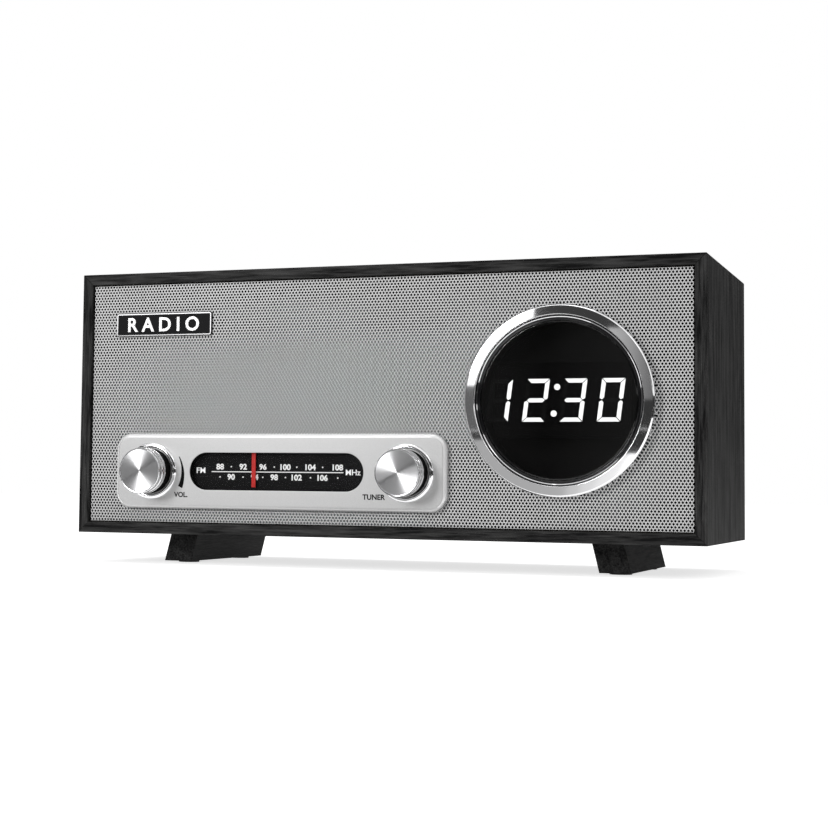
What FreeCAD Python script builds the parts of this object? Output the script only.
import FreeCAD, Part
import math
import os
import Sketcher

# A table-top clock radio: a mitred wooden box on two splayed wooden feet, with a
# perforated front, a metal control plate with a sliding dial pointer, a round clock,
# two small loudspeakers and a strip of buttons on the top.
#
# Distances in the comments and in the code below are in the cabinet's own frame:
# x from the middle, y from the cabinet's front edge towards the back, z from the
# cabinet's underside.  place() moves them to the part's frame, whose origin is on the
# table under the middle of the whole radio, +X right, +Y back, +Z up.

doc = FreeCAD.newDocument("clock_radio")

# ---------------------------------------------------------------- driving dimensions
DRIVING = {
    "cabinet_width": 356, "cabinet_height": 148, "cabinet_depth": 140,
    "panel_thickness": 6, "back_thickness": 3, "back_inset": 1,
    "foot_height": 17, "foot_width": 16.9, "foot_outer": 131, "foot_splay": 4,
    "foot_length": 102, "foot_setback": 25, "foot_pad_thickness": 1,
    "grille_recess": 2, "grille_thickness": 0.8, "grille_gap": 0.8, "cloth_thickness": 0.6,
    "baffle_thickness": 9,
    "plate_centre": -55.5, "plate_width": 195.8, "plate_bottom": 14.3, "plate_height": 42,
    "plate_proud": 2.5, "plate_corner": 9, "plate_bevel": 1.6,
    "window_width": 103, "window_height": 20.8, "knob_level": 35.3, "knob_spacing": 150.9,
    "knob_reach": 17.5, "knob_radius": 12.8, "knob_cap_radius": 12, "ring_radius": 15.9,
    "shaft_radius": 3, "running_gap": 0.05,
    "pointer_centre": -69.5, "pointer_width": 2.4, "pointer_low": 26.7,
    "rail_radius": 1, "rail_level": 50.5, "rail_depth": 6,
    "cord_radius": 0.4, "cord_level": 51, "cord_depth": 9.5, "spindle_groove": 3,
    "drum_groove": 14, "drum_level": 33.5, "drum_centre": -51, "idler_groove": 3,
    "idler_left_x": -104, "idler_right_x": 2,
    "clock_centre": 102.5, "clock_level": 73.5, "clock_radius": 50.15, "clock_proud": 5,
    "clock_bezel_inner": 44.15, "clock_lens_radius": 41.55,
    "badge_centre": -126.4, "badge_level": 118.4, "badge_width": 60, "badge_height": 13.5,
    "badge_thickness": 1.8,
    "speaker_left_x": -125, "speaker_right_x": 3, "speaker_level": 100, "speaker_radius": 39,
    "top_panel_width": 150, "top_panel_depth": 40, "top_panel_front": 48,
    "button_travel": 0.8, "button_proud": 1.4,
    "jack_radius": 1.8, "socket_level": 40,
}

sheet = doc.addObject("Spreadsheet::Sheet", "dims")
for row, (alias, number) in enumerate(DRIVING.items(), start=1):
    sheet.set(f"A{row}", str(number))
    sheet.setAlias(f"A{row}", alias)
doc.recompute()


class Size:
    """A length that carries its spreadsheet expression along with its value."""

    def __init__(self, text, value):
        self.text = text
        self.value = float(value)

    def _join(self, other, sign, value):
        return Size(f"({self.text} {sign} {size(other).text})", value)

    def __add__(self, other):
        return self._join(other, "+", self.value + size(other).value)

    def __sub__(self, other):
        return self._join(other, "-", self.value - size(other).value)

    def __mul__(self, other):
        return self._join(other, "*", self.value * size(other).value)

    def __truediv__(self, other):
        return self._join(other, "/", self.value / size(other).value)

    def __radd__(self, other):
        return size(other) + self

    def __rsub__(self, other):
        return size(other) - self

    def __rmul__(self, other):
        return size(other) * self

    def __neg__(self):
        return size(0) - self


def size(number):
    """Any plain number as a Size."""
    return number if isinstance(number, Size) else Size(f"{float(number)}", number)


def dim(alias):
    """One cell of the spreadsheet."""
    return Size(f"dims.{alias}", DRIVING[alias])


def bind(item, path, length):
    """Bind one property of an object to an expression of the spreadsheet's cells."""
    item.setExpression(path, size(length).text)


# Levels and depths that several pieces share.
WALL = dim("panel_thickness")
HALF_WIDTH = dim("cabinet_width") / 2
TOP = dim("cabinet_height")
SHEET_FRONT = dim("grille_recess")
SHEET_BACK = SHEET_FRONT + dim("grille_thickness")
BAFFLE_FRONT = SHEET_BACK + dim("cloth_thickness")
BAFFLE_BACK = BAFFLE_FRONT + dim("baffle_thickness")
BRACKET_BACK = BAFFLE_BACK + 1
BACK_OUTSIDE = dim("cabinet_depth") - dim("back_inset")
BACK_INSIDE = BACK_OUTSIDE - dim("back_thickness")
KNOB_LEVEL = dim("knob_level")
VOLUME_X = dim("plate_centre") - dim("knob_spacing") / 2
TUNER_X = dim("plate_centre") + dim("knob_spacing") / 2
PLATE_FACE = -dim("plate_proud")
PLATE_LEVEL = dim("plate_bottom") + dim("plate_height") / 2
SHAFT = dim("shaft_radius")
GAP = dim("running_gap")

PIECES = []               # every finished sub-part, in the order it is made
CORNERS = {}              # where each plain block or bar starts, before its piece is placed
ALONG = {"x": (FreeCAD.Vector(0, 1, 0), 90), "y": (FreeCAD.Vector(1, 0, 0), -90),
         "z": (FreeCAD.Vector(0, 0, 1), 0)}


def place(item, x=0, y=0, z=0):
    """Put a piece at a point of the cabinet's frame."""
    front = (dim("knob_reach") - dim("cabinet_depth")) / 2
    corner = CORNERS.get(item.Name, (0, 0, 0))
    bind(item, "Placement.Base.x", corner[0] + size(x))
    bind(item, "Placement.Base.y", front + corner[1] + y)
    bind(item, "Placement.Base.z", dim("foot_height") + corner[2] + z)


def finish(item, label, x=0, y=0, z=0):
    """Name a finished sub-part and put it in its place."""
    item.Label = label
    place(item, x, y, z)
    PIECES.append(item)
    return item


# ---------------------------------------------------------------- shapes by hand tools
def block(low, high):
    """A rectangular block between two corners."""
    item = doc.addObject("Part::Box", "block")
    for side, axis, a, b in zip(("Length", "Width", "Height"), "xyz", low, high):
        bind(item, side, size(b) - a)
        bind(item, f"Placement.Base.{axis}", a)
    CORNERS[item.Name] = low
    return item


def rod(radius, start, length, along="y"):
    """A round bar from a point, along one axis."""
    item = doc.addObject("Part::Cylinder", "rod")
    axis, turn = ALONG[along]
    item.Placement.Rotation = FreeCAD.Rotation(axis, turn)
    bind(item, "Radius", radius)
    bind(item, "Height", length)
    for letter, value in zip("xyz", start):
        bind(item, f"Placement.Base.{letter}", value)
    CORNERS[item.Name] = start
    return item


def join(*items):
    """Several solids as one object: fused where they touch, a group where they don't."""
    result = doc.addObject("Part::MultiFuse", "join")
    result.Shapes = list(items)
    return result


def cut(base, *tools):
    """A solid with other solids taken out of it."""
    result = doc.addObject("Part::Cut", "cut")
    result.Base = base
    result.Tool = join(*tools) if len(tools) > 1 else tools[0]
    return result


# ---------------------------------------------------------------- shapes by sketches
def outline(body, plane, points):
    """A closed polygon on one of the body's own planes, every corner bound to the sheet."""
    sketch = body.newObject("Sketcher::SketchObject", "outline")
    origin_plane = [f for f in body.Origin.OriginFeatures if f.Role == plane][0]
    sketch.AttachmentSupport = (origin_plane, [""])
    sketch.MapMode = "FlatFace"
    corners = [(size(u), size(v)) for u, v in points]
    count = len(corners)
    for i in range(count):
        ends = [FreeCAD.Vector(u.value, v.value, 0) for u, v in (corners[i], corners[(i + 1) % count])]
        sketch.addGeometry(Part.LineSegment(*ends))
    for i in range(count):
        sketch.addConstraint(Sketcher.Constraint("Coincident", i, 2, (i + 1) % count, 1))
    for i, (u, v) in enumerate(corners):
        for kind, own_axis, value in (("DistanceX", -2, u), ("DistanceY", -1, v)):
            if abs(value.value) < 1e-9:
                sketch.addConstraint(Sketcher.Constraint("PointOnObject", i, 1, own_axis))
            else:
                rule = sketch.addConstraint(Sketcher.Constraint(kind, -1, 1, i, 1, value.value))
                sketch.setExpression(f"Constraints[{rule}]", value.text)
    return sketch


def new_body():
    return doc.addObject("PartDesign::Body", "body")


def slab(plane, points, thickness):
    """A flat piece: an outline given a thickness towards +X, +Y or +Z."""
    body = new_body()
    pad = body.newObject("PartDesign::Pad", "pad")
    pad.Profile = outline(body, plane, points)
    bind(pad, "Length", thickness)
    pad.Reversed = plane == "XZ_Plane"
    doc.recompute()
    return body


def turned(points):
    """A turned piece: a profile of (radius, depth) corners spun about the body's Y axis."""
    body = new_body()
    sketch = outline(body, "XY_Plane", points)
    spun = body.newObject("PartDesign::Revolution", "spun")
    spun.Profile = sketch
    spun.ReferenceAxis = (sketch, ["V_Axis"])
    spun.Angle = 360
    doc.recompute()
    return body


def round_edges(body, radius, chosen):
    """Round the edges that chosen(edge) picks on a body's last feature."""
    tip = body.Tip
    names = [f"Edge{n}" for n, edge in enumerate(tip.Shape.Edges, start=1) if chosen(edge)]
    fillet = body.newObject("PartDesign::Fillet", "fillet")
    fillet.Base = (tip, names)
    bind(fillet, "Radius", radius)
    doc.recompute()
    return body


def bevel_edges(body, width, chosen):
    """Bevel the edges that chosen(edge) picks on a body's last feature."""
    tip = body.Tip
    names = [f"Edge{n}" for n, edge in enumerate(tip.Shape.Edges, start=1) if chosen(edge)]
    chamfer = body.newObject("PartDesign::Chamfer", "bevel")
    chamfer.Base = (tip, names)
    bind(chamfer, "Size", width)
    doc.recompute()
    return body


def runs_along(axis):
    """Picks straight edges that run along one axis."""
    def chosen(edge):
        ends = [v.Point for v in edge.Vertexes]
        if len(ends) != 2:
            return False
        step = ends[1] - ends[0]
        return abs(abs(getattr(step, axis)) - step.Length) < 1e-6
    return chosen


def lies_at(axis, level):
    """Picks edges that lie wholly at one level."""
    def chosen(edge):
        box = edge.BoundBox
        low, high = getattr(box, axis + "Min"), getattr(box, axis + "Max")
        return abs(low - size(level).value) < 1e-4 and abs(high - size(level).value) < 1e-4
    return chosen


def rectangle(u_low, u_high, v_low, v_high):
    return [(u_low, v_low), (u_high, v_low), (u_high, v_high), (u_low, v_high)]


# ---------------------------------------------------------------- cabinet
def cabinet():
    """Four boards with mitred corners, so that no end grain shows at the front."""
    inner = HALF_WIDTH - WALL
    depth = dim("cabinet_depth")

    top = slab("XZ_Plane", [(-HALF_WIDTH, WALL), (-inner, 0), (inner, 0), (HALF_WIDTH, WALL)], depth)
    hatch_half = dim("top_panel_width") / 2 - 4
    hatch = block((-hatch_half, dim("top_panel_front") + 4, -1),
                  (hatch_half, dim("top_panel_front") + dim("top_panel_depth") - 4, WALL + 1))
    finish(cut(top, hatch), "cabinet_top", 0, 0, TOP - WALL)

    bottom = slab("XZ_Plane", [(-HALF_WIDTH, 0), (HALF_WIDTH, 0), (inner, WALL), (-inner, WALL)], depth)
    holes = [rod(2, (x, y, -1), WALL + 2, "z") for x, y in foot_screw_places()]
    finish(cut(bottom, *holes), "cabinet_bottom")

    for label, side in (("cabinet_left", -1), ("cabinet_right", 1)):
        board = slab("XZ_Plane", [(side * HALF_WIDTH, 0), (side * HALF_WIDTH, TOP),
                                  (side * inner, TOP - WALL), (side * inner, WALL)], depth)
        finish(board, label)


# ---------------------------------------------------------------- feet
def foot_screw_places():
    """Two screws down into each foot."""
    middle = dim("foot_outer") - dim("foot_width") / 2
    front = dim("foot_setback") + 15
    back = dim("foot_setback") + dim("foot_length") - 15
    return [(side * middle, y) for side in (-1, 1) for y in (front, back)]


def feet():
    """Splayed wooden bars with a thin felt pad under each end and screws from inside."""
    drop = dim("foot_height") - dim("foot_pad_thickness")
    outer = dim("foot_outer")
    inner = outer - dim("foot_width")
    splay = dim("foot_splay")
    places = foot_screw_places()
    for label, side in (("foot_left", -1), ("foot_right", 1)):
        bar = slab("XZ_Plane", [(side * inner, 0), (side * outer, 0),
                                (side * (outer + splay), -drop), (side * (inner + splay), -drop)],
                   dim("foot_length"))
        holes = [rod(1.8, (x, y - dim("foot_setback"), -10.5), 12, "z")
                 for x, y in places if x.value * side > 0]
        finish(cut(bar, *holes), label, 0, dim("foot_setback"))

    pads = [rod(6, (x + (4 if x.value > 0 else -4), y, -dim("foot_height")), dim("foot_pad_thickness"), "z")
            for x, y in places]
    finish(join(*pads), "foot_pads")

    screws = [join(rod(1.75, (x, y, -10), WALL + 10.5, "z"), rod(4, (x, y, WALL), 2.2, "z"))
              for x, y in places]
    finish(join(*screws), "foot_screws")


# ---------------------------------------------------------------- front
def corner_holes(depth, thickness, radius):
    """The places of the plate's opening and the clock's hole, as cutters through a sheet."""
    opening = block((dim("plate_centre") - 66, depth - 1, 17.5),
                    (dim("plate_centre") + 66, thickness + 1, 54.2))
    knobs = [rod(7, (x, depth - 1, KNOB_LEVEL), thickness + 2) for x in (VOLUME_X, TUNER_X)]
    clock = rod(radius, (dim("clock_centre"), depth - 1, dim("clock_level")), thickness + 2)
    return [opening, clock] + knobs


def front():
    """Perforated sheet, cloth and the board that carries everything."""
    gap = dim("grille_gap") + WALL
    sheet_low = (gap - HALF_WIDTH, 0, gap)
    sheet_high = (HALF_WIDTH - gap, dim("grille_thickness"), TOP - gap)
    grille = cut(block(sheet_low, sheet_high), *corner_holes(size(0), dim("grille_thickness"), 45.2))
    finish(grille, "grille_sheet", 0, SHEET_FRONT)

    cloth_high = (sheet_high[0], dim("cloth_thickness"), sheet_high[2])
    cloth = cut(block(sheet_low, cloth_high), *corner_holes(size(0), dim("cloth_thickness"), 45.2))
    finish(cloth, "grille_cloth", 0, SHEET_BACK)

    board = slab("XZ_Plane", rectangle(WALL - HALF_WIDTH, HALF_WIDTH - WALL, WALL, TOP - WALL),
                 dim("baffle_thickness"))
    depth = dim("baffle_thickness")
    openings = [
        block((dim("plate_centre") - 91, -1, 17), (dim("plate_centre") + 91, depth + 1, 54.6)),
        rod(44.6, (dim("clock_centre"), -1, dim("clock_level")), depth + 2),
        rod(33, (dim("speaker_left_x"), -1, dim("speaker_level")), depth + 2),
        rod(33, (dim("speaker_right_x"), -1, dim("speaker_level")), depth + 2),
    ]
    finish(cut(board, *openings), "front_baffle", 0, BAFFLE_FRONT)


def badge():
    """A small plain name strip, stuck on the perforated sheet."""
    half, tall, thick = dim("badge_width") / 2, dim("badge_height") / 2, dim("badge_thickness")
    plate = slab("XZ_Plane", rectangle(-half, half, -tall, tall), thick)
    round_edges(plate, 1.5, runs_along("y"))
    finish(plate, "badge", dim("badge_centre"), SHEET_FRONT - thick, dim("badge_level"))


# ---------------------------------------------------------------- control plate and dial
def control_plate():
    """The metal plate: bevelled rim, round-ended window, two shaft holes, hollow back."""
    half, tall = dim("plate_width") / 2, dim("plate_height") / 2
    depth = SHEET_FRONT + dim("plate_proud")
    plate = slab("XZ_Plane", rectangle(-half, half, -tall, tall), depth)
    round_edges(plate, dim("plate_corner"), runs_along("y"))
    bevel_edges(plate, dim("plate_bevel"), lies_at("Y", 0))

    end = dim("window_height") / 2
    run = dim("window_width") / 2 - end
    level = KNOB_LEVEL - PLATE_LEVEL
    window = [block((-run, -1, level - end), (run, depth + 1, level + end)),
              rod(end, (-run, -1, level), depth + 2), rod(end, (run, -1, level), depth + 2)]
    back_pocket = block((-60.5, dim("plate_proud"), 21.5 - PLATE_LEVEL),
                        (60.5, depth + 1, 53.4 - PLATE_LEVEL))
    shafts = [rod(4, (side * dim("knob_spacing") / 2, -1, level), depth + 2) for side in (-1, 1)]
    finish(cut(plate, *window, back_pocket, *shafts), "control_plate",
           dim("plate_centre"), PLATE_FACE, PLATE_LEVEL)

    run_in, end_in = run, end - 0.1
    lens = join(block((-run_in, 0, -end_in), (run_in, 1.5, end_in)),
                rod(end_in, (-run_in, 0, 0), 1.5), rod(end_in, (run_in, 0, 0), 1.5))
    finish(lens, "dial_lens", dim("plate_centre"), -1.8, KNOB_LEVEL)

    board = slab("XZ_Plane", rectangle(-63, 63, 19, 48), 1.2)
    finish(board, "dial_scale", dim("plate_centre"), SHEET_FRONT)


def pointer():
    """The red pointer: a blade in front of the scale, hooked over its top to the carriage."""
    half = dim("pointer_width") / 2
    blade = block((-half, 0, dim("pointer_low")), (half, 0.6, 49.4))
    hook = block((-half, 0, 49.2), (half, 3.7, 51.4))
    finish(join(blade, hook), "dial_pointer", dim("pointer_centre"), 0.5)

    carriage = block((-4, 4.2, 49), (4, 10.6, 52.6))
    rail_bore = rod(dim("rail_radius") + GAP, (-5, dim("rail_depth"), dim("rail_level")), 10, "x")
    cord_way = rod(dim("cord_radius") + 0.25, (-5, dim("cord_depth"), dim("cord_level")), 10, "x")
    finish(cut(carriage, rail_bore, cord_way), "pointer_carriage", dim("pointer_centre"))


def pulley(bore, groove, flange, width=2.4):
    """A grooved wheel, from its front face back; groove is the cord's centre line radius."""
    seat = groove - dim("cord_radius") - GAP
    middle = width / 2
    return turned([(bore, -middle), (flange, -middle), (flange, -0.7), (seat, -0.5),
                   (seat, 0.5), (flange, 0.7), (flange, middle), (bore, middle)])


def dial_drive():
    """Bracket, rail, idlers, drum, tuning resistor and spindle behind the scale."""
    left_end, right_end = -113, 9
    bracket = block((dim("plate_centre") - 95, BAFFLE_BACK, 13),
                    (dim("plate_centre") + 95, BRACKET_BACK, 57.5))
    ears = [block((x, 4.2, 48.8), (x + 1, BAFFLE_BACK + 0.5, 53.4)) for x in (left_end, right_end)]
    shaft_holes = [rod(4.5, (x, BAFFLE_BACK - 1, z), 3) for x, z in (
        (VOLUME_X, KNOB_LEVEL), (TUNER_X, KNOB_LEVEL), (dim("drum_centre"), dim("drum_level")))]
    rail_holes = rod(dim("rail_radius") + 0.02, (left_end - 1, dim("rail_depth"), dim("rail_level")),
                     right_end - left_end + 4, "x")
    idler_level = dim("cord_level") - dim("idler_groove")
    posts = [rod(1.2, (x, 7.4, idler_level), BAFFLE_BACK - 6.9)
             for x in (dim("idler_left_x"), dim("idler_right_x"))]
    plate = cut(join(bracket, *ears, *posts), *shaft_holes, rail_holes)
    bush = turned([(2 + GAP, 12.2), (6.5, 12.2), (6.5, BAFFLE_BACK), (4.4, BAFFLE_BACK),
                   (4.4, 18), (2 + GAP, 18)])
    bind(bush, "Placement.Base.x", TUNER_X)
    bind(bush, "Placement.Base.z", KNOB_LEVEL)
    finish(join(plate, bush), "dial_bracket")

    rail = rod(dim("rail_radius"), (left_end - 0.5, dim("rail_depth"), dim("rail_level")),
               right_end - left_end + 2, "x")
    finish(rail, "pointer_rail")

    for label, x in (("idler_left", dim("idler_left_x")), ("idler_right", dim("idler_right_x"))):
        wheel = pulley(1.2 + GAP, dim("idler_groove"), 4)
        finish(wheel, label, x, dim("cord_depth"), idler_level)

    drum = join(pulley(SHAFT - 0.5, dim("drum_groove"), dim("drum_groove") + 1),
                rod(SHAFT, (0, -1.5, 0), 11))
    finish(drum, "cord_drum", dim("drum_centre"), dim("cord_depth"), dim("drum_level"))
    case = turned([(0, BRACKET_BACK), (SHAFT + GAP, BRACKET_BACK), (SHAFT + GAP, 19.2), (0, 19.2)])
    body = rod(8.5, (0, BRACKET_BACK, 0), 9)
    finish(cut(body, case), "tuning_resistor", dim("drum_centre"), 0, dim("drum_level"))

    groove = dim("spindle_groove") - dim("cord_radius") - GAP
    spindle = turned([(0, -14), (SHAFT, -14), (SHAFT, 8.6), (groove, 8.8), (groove, 10.2),
                      (SHAFT, 10.4), (SHAFT, 11.9), (2, 11.9), (2, 19), (0, 19)])
    finish(spindle, "tuner_spindle", TUNER_X, 0, KNOB_LEVEL)


def wrap_points(wheels):
    """Where a loop of cord leaves and meets each wheel, going clockwise round them all."""
    ends = []
    for (x1, z1, r1), (x2, z2, r2) in zip(wheels, wheels[1:] + wheels[:1]):
        run = math.hypot(x2 - x1, z2 - z1)
        heading = math.atan2(z2 - z1, x2 - x1)
        side = heading + math.pi / 2 + math.asin((r2 - r1) / run)
        out = (math.cos(side), math.sin(side))
        ends.append(((x1 + r1 * out[0], z1 + r1 * out[1]), (x2 + r2 * out[0], z2 + r2 * out[1])))
    return ends


def dial_cord():
    """The drive cord: one closed loop over the idlers, round the spindle, under the drum."""
    level = dim("cord_level") - dim("idler_groove")
    wheels = [(dim("idler_left_x"), level, dim("idler_groove")),
              (dim("idler_right_x"), level, dim("idler_groove")),
              (TUNER_X, KNOB_LEVEL, dim("spindle_groove")),
              (dim("drum_centre"), dim("drum_level"), dim("drum_groove"))]
    wheels = [tuple(size(v).value for v in wheel) for wheel in wheels]
    runs = wrap_points(wheels)
    edges = []
    for i, (leave, meet) in enumerate(runs):
        x, z, r = wheels[(i + 1) % len(wheels)]
        onward = runs[(i + 1) % len(runs)][0]
        edges.append(Part.LineSegment(FreeCAD.Vector(leave[0], 0, leave[1]),
                                      FreeCAD.Vector(meet[0], 0, meet[1])).toShape())
        middle = FreeCAD.Vector(meet[0] + onward[0] - 2 * x, 0, meet[1] + onward[1] - 2 * z)
        middle.normalize()
        edges.append(Part.Arc(FreeCAD.Vector(meet[0], 0, meet[1]),
                              FreeCAD.Vector(x, 0, z) + middle * r,
                              FreeCAD.Vector(onward[0], 0, onward[1])).toShape())
    path = Part.Wire(edges)
    start = edges[0].valueAt(edges[0].FirstParameter)
    section = Part.Wire([Part.makeCircle(size(dim("cord_radius")).value, start, edges[0].tangentAt(0))])
    cord = doc.addObject("Part::Feature", "cord")
    cord.Shape = path.makePipeShell([section], True, False)
    finish(cord, "dial_cord", 0, dim("cord_depth"))
    print("dial cord length", round(path.Length, 2), "volume ratio",
          round(cord.Shape.Volume / (path.Length * math.pi * dim("cord_radius").value ** 2), 4))


# ---------------------------------------------------------------- knobs
def knob(prefix, x):
    """A turned knob with a groove round its side and a spun face let into its front."""
    r, reach, cap = dim("knob_radius"), dim("knob_reach"), dim("knob_cap_radius")
    face = -reach
    body = turned([(0, -14), (SHAFT + 0.02, -14), (SHAFT + 0.02, -3), (r, -3), (r, -8.2),
                   (r - 1, -8.4), (r - 1, -9.4), (r, -9.6), (r, face + 0.9), (r - 0.5, face),
                   (cap + 0.02, face), (cap + 0.02, face + 0.8), (0, face + 0.8)])
    finish(body, f"{prefix}_knob", x, 0, KNOB_LEVEL)
    finish(rod(cap, (0, 0, 0), 0.8), f"{prefix}_knob_face", x, face, KNOB_LEVEL)


def knob_rings():
    """The two fixed rings on the plate, one round the foot of each knob."""
    inner, ring = dim("knob_radius") + 0.5, dim("ring_radius")
    rings = []
    for side in (-1, 1):
        collar = turned([(inner, 0), (ring, 0), (ring, -1), (ring - 0.6, -1.5), (inner, -1.5)])
        bind(collar, "Placement.Base.x", side * dim("knob_spacing") / 2)
        rings.append(collar)
    finish(join(*rings), "knob_rings", dim("plate_centre"), PLATE_FACE, KNOB_LEVEL)


def volume_control():
    """The volume potentiometer: its case, its shaft and the nut that holds it."""
    finish(rod(SHAFT, (0, 0, 0), 36), "volume_shaft", VOLUME_X, -14, KNOB_LEVEL)
    case = cut(join(rod(8.5, (0, BRACKET_BACK, 0), 10), rod(4.4, (0, 6, 0), 8)),
               rod(SHAFT + GAP, (0, 5, 0), 17.2))
    nut = turned([(4.45, BAFFLE_BACK - 2), (6.6, BAFFLE_BACK - 2), (6.6, BAFFLE_BACK), (4.45, BAFFLE_BACK)])
    finish(join(case, nut), "volume_control", VOLUME_X, 0, KNOB_LEVEL)


# ---------------------------------------------------------------- clock
def clock():
    """Chrome bezel, dark inner ring, lens, cup, and the display block on its circuit board."""
    outer, inner, lens = dim("clock_radius"), dim("clock_bezel_inner"), dim("clock_lens_radius")
    proud = -dim("clock_proud")
    x, z = dim("clock_centre"), dim("clock_level")
    finish(turned([(inner, SHEET_FRONT), (inner, proud + 0.8), (inner + 0.6, proud),
                   (outer - 0.9, proud + 0.6), (outer, proud + 1.5), (outer, SHEET_FRONT)]),
           "clock_bezel", x, 0, z)
    finish(turned([(lens + 0.05, -1.6), (lens + 0.05, -2.2), (inner, -3), (inner, -0.5), (lens - 1, -0.5),
                   (lens - 1, -1.6)]), "clock_inner_ring", x, 0, z)
    finish(rod(lens, (0, 0, 0), 1.2), "clock_lens", x, -2.8, z)
    cup = turned([(inner - 1.5, -0.5), (inner - 0.2, -0.5), (inner - 0.2, 19), (0, 19), (0, 17.5),
                  (inner - 1.5, 17.5)])
    finish(cup, "clock_housing", x, 0, z)
    display = block((-36, -8, -19.5), (36, 0, 19.5))
    board = block((-35, 0, -17), (35, 1.6, 17))
    pegs = [rod(2, (side * 30, 1.6, 0), 6.9) for side in (-1, 1)]
    finish(join(display, board, *pegs), "clock_display", x + 1.2, 9, z + 0.3)


# ---------------------------------------------------------------- loudspeakers
def both_speakers(make, label):
    """One kind of fixed speaker piece, made for the left and the right speaker."""
    pair = []
    for x in (dim("speaker_left_x"), dim("speaker_right_x")):
        item = make()
        bind(item, "Placement.Base.x", x)
        pair.append(item)
    finish(join(*pair), label, 0, BAFFLE_BACK, dim("speaker_level"))


def basket():
    """A pressed-steel basket, with the half-roll surround glued to its rim."""
    rim = dim("speaker_radius")
    return turned([(33, 0), (rim, 0), (rim, 1.4), (34.6, 1.4), (26, 19), (10, 19), (10, 17.8),
                   (25, 17.8), (33, 2.2)])


def surround():
    return turned([(28.1, 2.4), (29.3, 0.4), (31.7, 0.4), (32.9, 2.4), (32.2, 2.4), (31.3, 1.1),
                   (29.7, 1.1), (28.8, 2.4)])


def magnet():
    """A ring magnet and its pole, with the narrow gap that the voice coil moves in."""
    return turned([(0, 19), (7.4, 19), (7.4, 27), (9.8, 27), (9.8, 19), (27, 19), (27, 31), (0, 31)])


def cone(label, x):
    """A paper cone with its dust cap and voice coil: the moving part of a speaker."""
    start = BAFFLE_BACK
    shell = turned([(0, 9), (6, 10), (9, 12.4), (27, 1.6), (27.7, 2.3), (9.2, 13.6), (9.2, 23), (8.1, 23),
                    (8.1, 13.2), (5.4, 11), (0, 10)])
    finish(shell, label, x, start, dim("speaker_level"))


def speakers():
    both_speakers(basket, "speaker_baskets")
    both_speakers(surround, "speaker_surrounds")
    both_speakers(magnet, "speaker_magnets")
    cone("speaker_left_cone", dim("speaker_left_x"))
    cone("speaker_right_cone", dim("speaker_right_x"))


def board_screws():
    """Screws into the front board: four through each basket's rim, four for the bracket."""
    reach = 36.6 * math.sqrt(0.5)
    screws = [rod(1.6, (x + dx * reach, 1.4, dim("speaker_level") + dz * reach), 1.6)
              for x in (dim("speaker_left_x"), dim("speaker_right_x"))
              for dx in (-1, 1) for dz in (-1, 1)]
    screws += [rod(2.6, (dim("plate_centre") + side * 93.2, 1, z), 1.8)
               for side in (-1, 1) for z in (22, 48)]
    finish(join(*screws), "board_screws", 0, BAFFLE_BACK)


# ---------------------------------------------------------------- top buttons
# Each button's middle, half width and half depth on the top panel.
BUTTONS = {"time_button": (-58.5, 5, 5), "alarm_button": (-45, 5, 5), "snooze_bar": (-9, 27, 8),
           "sleep_button": (31, 5, 5), "hour_button": (44.5, 5, 5), "minute_button": (58, 5, 5)}


def top_buttons():
    """A moulded panel let into the top, with a long snooze bar and five small keys."""
    half, deep = dim("top_panel_width") / 2, dim("top_panel_depth")
    panel = slab("XY_Plane", rectangle(-half, half, 0, deep), 1)
    round_edges(panel, 5, runs_along("z"))
    skirt = cut(block((4 - half, 4, -8), (half - 4, deep - 4, 0.4)),
                block((5.5 - half, 5.5, -9), (half - 5.5, deep - 5.5, -0.01)))
    middle = deep / 2
    gap = 0.25
    holes = []
    for x, wide, tall in BUTTONS.values():
        holes.append(block((x - wide - gap, middle - tall - gap, -1),
                           (x + wide + gap, middle + tall + gap, 2)))
    finish(cut(join(panel, skirt), *holes), "top_panel", 0, dim("top_panel_front"), TOP)

    travel, proud = dim("button_travel"), dim("button_proud")
    for label, (x, wide, tall) in BUTTONS.items():
        key = slab("XY_Plane", rectangle(-wide, wide, -tall, tall), proud + 4)
        round_edges(key, 1.2, runs_along("z"))
        round_edges(key, 0.4, lies_at("Z", proud + 4))
        flange = block((-wide - 1, -tall - 1, 2), (wide + 1, tall + 1, 2.8))
        stem = rod(1.5, (0, 0, -1.6), 1.6, "z")
        finish(join(key, flange, stem), label, x, dim("top_panel_front") + middle, TOP - 3)

    board = block((9 - half, 7, -12.5), (half - 9, deep - 7, -11))
    switches = []
    for x, _, _ in BUTTONS.values():
        switches.append(block((x - 3, middle - 3, -11), (x + 3, middle + 3, -7)))
        switches.append(rod(1.2, (x, middle, -7), 2.35 - travel, "z"))
    finish(join(board, *switches), "button_board", 0, dim("top_panel_front"), TOP)


# ---------------------------------------------------------------- back and electronics
SOCKETS = {"aux_x": 120, "power_x": 148, "switch_x": 88, "aerial_x": 60}


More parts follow.
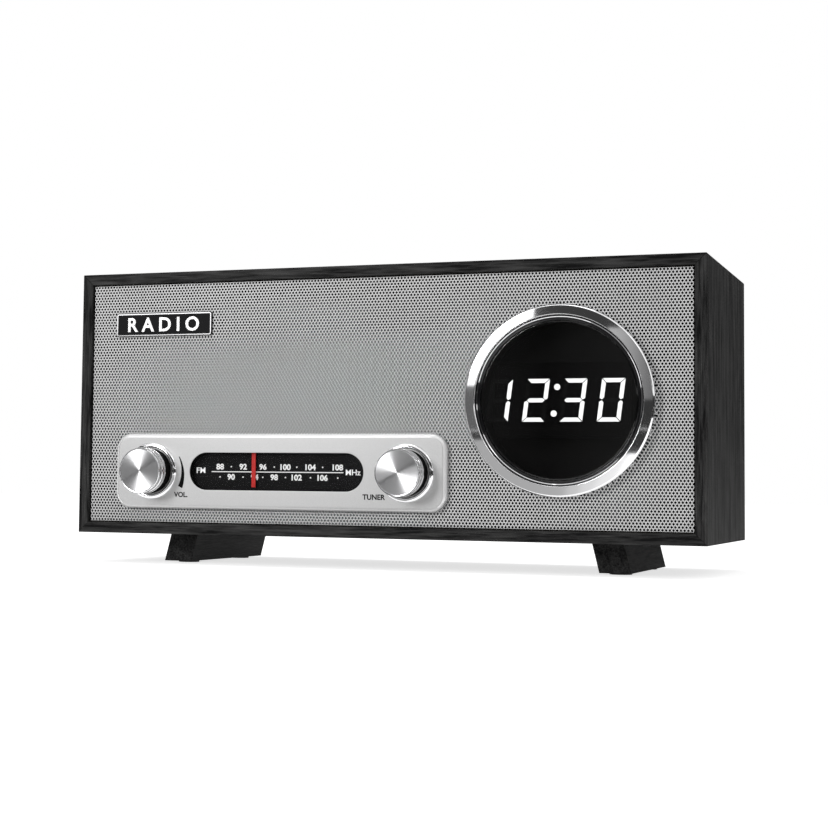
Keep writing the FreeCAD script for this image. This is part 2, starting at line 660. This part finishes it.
def rear():
    """The back board with its vents and openings, and the sockets behind it."""
    level = dim("socket_level")
    board = slab("XZ_Plane", rectangle(WALL - HALF_WIDTH, HALF_WIDTH - WALL, WALL, TOP - WALL),
                 dim("back_thickness"))
    vents = [block((x - 20, -1, z - 1.5), (x + 20, 5, z + 1.5))
             for x in (-110, -55, 0) for z in (86, 94, 102, 110, 118)]
    holes = [rod(3.6, (SOCKETS["aux_x"], -1, level), 6), rod(5.6, (SOCKETS["power_x"], -1, level), 6),
             block((SOCKETS["switch_x"] - 7, -1, level - 2.5), (SOCKETS["switch_x"] + 7, 5, level + 2.5)),
             rod(3.1, (SOCKETS["aerial_x"], -1, level), 6)]
    screw_places = [(x, z) for x in (-165, 0, 165) for z in (13, 135)]
    holes += [rod(1.6, (x, -1, z), 6) for x, z in screw_places]
    finish(cut(board, *vents, *holes), "rear_panel", 0, BACK_INSIDE)

    screws = [join(rod(1.5, (x, -9, z), dim("back_thickness") + 9, "y"),
                   rod(3, (x, dim("back_thickness"), z), 0.9, "y")) for x, z in screw_places]
    finish(join(*screws), "rear_screws", 0, BACK_INSIDE)
    cleats = [cut(block((x - 6, -10, z - 5), (x + 6, 0, z + 5)), rod(1.55, (x, -9.5, z), 11))
              for x, z in ((-165, 13), (165, 13), (-165, 135), (165, 135), (0, 13), (0, 135))]
    finish(join(*cleats), "rear_cleats", 0, BACK_INSIDE)

    jack = cut(join(block((-5, -15, -5), (5, 0, 5)), rod(3.5, (0, 0, 0), dim("back_thickness") + 0.4)),
               rod(dim("jack_radius"), (0, -10.6, 0), 20))
    finish(jack, "aux_jack", SOCKETS["aux_x"], BACK_INSIDE, level)
    shell = join(block((-5.5, -12, -5.5), (5.5, 0, 5.5)), rod(5.5, (0, 0, 0), dim("back_thickness")))
    inlet = join(cut(shell, rod(2.9, (0, -9, 0), 20)), rod(1, (0, -10, 0), 12))
    finish(inlet, "power_inlet", SOCKETS["power_x"], BACK_INSIDE, level)
    gland = cut(join(rod(3, (0, -2, 0), dim("back_thickness") + 2.8), rod(4.5, (0, -2, 0), 1.9)),
                rod(1, (0, -3, 0), 9))
    finish(gland, "aerial_gland", SOCKETS["aerial_x"], BACK_INSIDE, level)

    case = cut(block((-11, -8, -5), (11, -1, 5)), block((-8, -3, -2), (8, 0, 2)))
    board = block((50 - SOCKETS["switch_x"], -16.6, -12), (160 - SOCKETS["switch_x"], -15, 9))
    spacer = block((-9, -15, -4), (9, -8, 4))
    finish(join(case, spacer, board), "socket_board", SOCKETS["switch_x"], BACK_INSIDE, level)
    slider = block((-2.2, -2.8, -1.6), (2.2, dim("back_thickness") + 0.8, 1.6))
    finish(slider, "source_slider", SOCKETS["switch_x"], BACK_INSIDE, level)


def main_board():
    """The receiver and amplifier board on its pillars, with the tallest of its parts."""
    under, over = WALL + 7, WALL + 8.6
    board = block((-142, 48, under), (-28, 122, over))
    pillars = [rod(3, (x, y, WALL), 7, "z") for x in (-135, -35) for y in (55, 115)]
    chips = [block((-70, 70, over), (-52, 88, over + 2)), block((-110, 92, over), (-96, 106, over + 1.6)),
             block((-120, 60, over), (-108, 76, over + 9))]
    cans = [rod(5, (x, 64, over), 12, "z") for x in (-92, -80)]
    cans += [rod(4, (-44, y, over), 10, "z") for y in (70, 82)]
    finish(join(board, *pillars, *chips, *cans), "main_board")


cabinet()
feet()
front()
badge()
control_plate()
pointer()
dial_drive()
dial_cord()
volume_control()
knob("volume", VOLUME_X)
knob("tuner", TUNER_X)
knob_rings()
clock()
speakers()
board_screws()
top_buttons()
rear()
main_board()
doc.recompute()

# ---------------------------------------------------------------- check and write
for item in doc.Objects:
    if "Invalid" in item.State or "Error" in item.State:
        raise RuntimeError(f"{item.Label} failed: {item.State}")
for piece in PIECES:
    if piece.Shape.isNull() or not piece.Shape.isValid() or not piece.Shape.Solids:
        raise RuntimeError(f"{piece.Label} has no valid solid")

os.makedirs("parts", exist_ok=True)
for piece in PIECES:
    piece.Shape.exportStep(f"parts/{piece.Label}.step")
print(len(PIECES), "sub-parts written")
